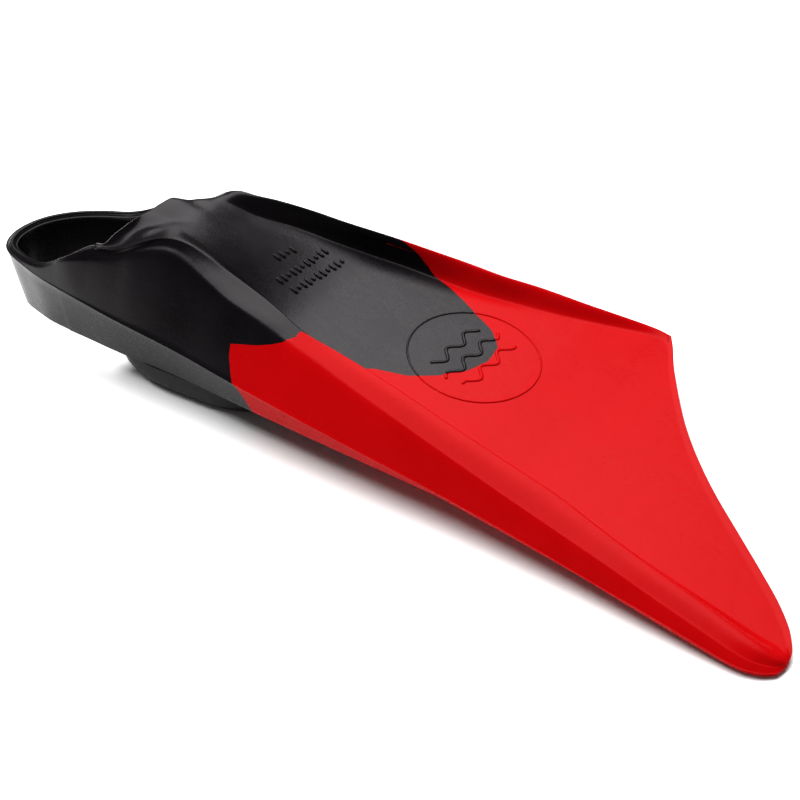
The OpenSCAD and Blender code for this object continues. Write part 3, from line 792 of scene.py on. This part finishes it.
# ---------------------------------------------------------------- materials
def rubber(name, base, lift, roughness, grain, mottle, gloss):
    """Satin moulded rubber: colour clouded from base to lift, micro grain and mould marks.
    grain is the bump's strength and mottle how far the roughness varies."""
    mat = bpy.data.materials.new(name)
    mat.use_nodes = True
    nt = mat.node_tree
    nodes, links = nt.nodes, nt.links
    bsdf = nodes["Principled BSDF"]
    bsdf.inputs["Specular IOR Level"].default_value = gloss
    bsdf.inputs["IOR"].default_value = 1.5
    bsdf.inputs["Specular Tint"].default_value = (1, 0.93, 0.98, 1)
    coord = nodes.new("ShaderNodeTexCoord")

    def noise(scale, detail, rough=0.5):
        n = nodes.new("ShaderNodeTexNoise")
        n.inputs["Scale"].default_value = scale
        n.inputs["Detail"].default_value = detail
        n.inputs["Roughness"].default_value = rough
        links.new(coord.outputs["Object"], n.inputs["Vector"])
        return n.outputs["Fac"]

    def ramp(fac, stops):
        n = nodes.new("ShaderNodeValToRGB")
        e = n.color_ramp.elements
        while len(e) < len(stops):
            e.new(0.5)
        for k, (pos, col) in zip(e, stops):
            k.position = pos
            k.color = (*col, 1) if isinstance(col, tuple) else (col, col, col, 1)
        links.new(fac, n.inputs["Fac"])
        return n.outputs["Color"]

    cloud = noise(38, 5, 0.6)
    links.new(ramp(cloud, [(0.3, base), (0.72, lift)]), bsdf.inputs["Base Color"])
    fine = noise(420, 3, 0.55)
    blend = nodes.new("ShaderNodeMix")
    blend.data_type = "FLOAT"
    blend.inputs[0].default_value = 0.35
    links.new(cloud, blend.inputs[2])
    links.new(fine, blend.inputs[3])
    rough = ramp(blend.outputs[0], [(0.3, roughness - mottle), (0.7, roughness + mottle)])
    links.new(rough, bsdf.inputs["Roughness"])
    micro = noise(1900, 2, 0.6)
    b1 = nodes.new("ShaderNodeBump")
    b1.inputs["Strength"].default_value = grain
    b1.inputs["Distance"].default_value = 0.00012
    links.new(micro, b1.inputs["Height"])
    b2 = nodes.new("ShaderNodeBump")
    b2.inputs["Strength"].default_value = 0.25
    b2.inputs["Distance"].default_value = 0.0006
    links.new(noise(75, 3, 0.5), b2.inputs["Height"])
    links.new(b1.outputs["Normal"], b2.inputs["Normal"])
    links.new(b2.outputs["Normal"], bsdf.inputs["Normal"])
    return mat


BLACK = rubber("black_rubber", (0.0016, 0.0013, 0.0016), (0.0028, 0.0023, 0.0028), 0.28, 0.3, 0.04, 0.10)
SOLE = rubber("sole_rubber", (0.0026, 0.0023, 0.0026), (0.0045, 0.004, 0.0045), 0.48, 0.5, 0.07, 0.12)
RED = rubber("red_rubber", (0.31, 0.0006, 0.0012), (0.335, 0.001, 0.0018), 0.29, 0.2, 0.04, 0.023)


def dress(o, mat):
    o.data.materials.clear()
    o.data.materials.append(mat)
    return o


def bend(o, start, end, a, b):
    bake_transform(o)


steps = np.linspace(0, 1, 60)
rear = dress(pocket_rear(), BLACK)
front = dress(slab("pocket_front", np.full(COLUMNS, CUT_X), SEAM, steps), BLACK)
g = np.linspace(0, 1, 190)
blade = dress(slab("blade", SEAM, np.full(COLUMNS, TIP_X - 0.02), 1 - (1 - g) ** 1.3),
              RED)
sole = dress(sole_plate(), SOLE)
pad = dress(sole_pad(), SOLE)
ring_black, ring_red, ticks = marks()
dress(ring_black, BLACK)
dress(ring_red, RED)
dress(ticks, BLACK)

bend(rear, *HEEL_BEND, "pocket", "heel_band")
for piece in (front, blade, sole, ring_black, ring_red):
    bend(piece, *BLADE_BEND, "pocket", "blade")
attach(pad, "pocket")
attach(ticks, "pocket")
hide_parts("heel_strap", "outer_pocket_wall", "inner_pocket_wall")
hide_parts("instep_bridge", "web_tongue")
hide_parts("footbed", "toe_block")
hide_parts("sole_pad")
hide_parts("outer_rail_root", "inner_rail_root", "outer_rail", "inner_rail", "blade_web")

# ---------------------------------------------------------------- floor, light and camera
EYE = (655.2, -708.6, 697.8)                # the camera's place on the drawing, in mm
RIGHT = (0.82915, 0.55672, 0.05069)
DOWN = (0.38564, -0.50399, -0.77284)
AHEAD = (-0.40470, 0.66035, -0.63258)


def turned(v):
    c, s = math.cos(PITCH), math.sin(PITCH)
    return Vector((v[0] * c + v[2] * s, v[1], -v[0] * s + v[2] * c)).normalized()


def camera():
    cam = bpy.data.objects.new("camera", bpy.data.cameras.new("camera"))
    bpy.context.scene.collection.objects.link(cam)
    cam.data.lens, cam.data.sensor_width = 112.5, 36
    cam.data.clip_start, cam.data.clip_end = 0.05, 50
    right, up, back = turned(RIGHT), -turned(DOWN), -turned(AHEAD)
    turn = Matrix((right, up, back)).transposed().to_4x4()
    cam.matrix_world = Matrix.Translation(Vector(rest(np.array(EYE)).tolist())) @ turn
    bpy.context.scene.camera = cam


def floor():
    bpy.ops.mesh.primitive_plane_add(size=9, location=(0, 0, -0.0004))
    o = bpy.context.active_object
    o.name = "floor"
    mat = bpy.data.materials.new("pale_floor")
    mat.use_nodes = True
    b = mat.node_tree.nodes["Principled BSDF"]
    b.inputs["Base Color"].default_value = (0.93, 0.93, 0.93, 1)
    b.inputs["Roughness"].default_value = 0.9
    b.inputs["Specular IOR Level"].default_value = 0.1
    o.data.materials.append(mat)


def area(name, place, target, size, size_y, power):
    light = bpy.data.objects.new(name, bpy.data.lights.new(name, "AREA"))
    light.data.shape, light.data.energy = "RECTANGLE", power
    light.data.size, light.data.size_y = size, size_y
    light.location = place
    light.rotation_mode = "QUATERNION"
    light.rotation_quaternion = (Vector(target) - Vector(place)).to_track_quat("-Z", "Y")
    bpy.context.scene.collection.objects.link(light)


world = bpy.data.worlds.new("studio")
world.use_nodes = True
world.node_tree.nodes["Background"].inputs["Color"].default_value = (1, 1, 1, 1)
world.node_tree.nodes["Background"].inputs["Strength"].default_value = 0.12
bpy.context.scene.world = world
bpy.context.scene.view_settings.view_transform = "Standard"
camera()
floor()
area("top", (-0.45, 0.22, 1.45), (-0.1, 0, 0), 2.2, 1.4, 90)
area("back", (-1.2, 1.5, 1.4), (-0.1, 0, 0), 0.9, 0.7, 7)
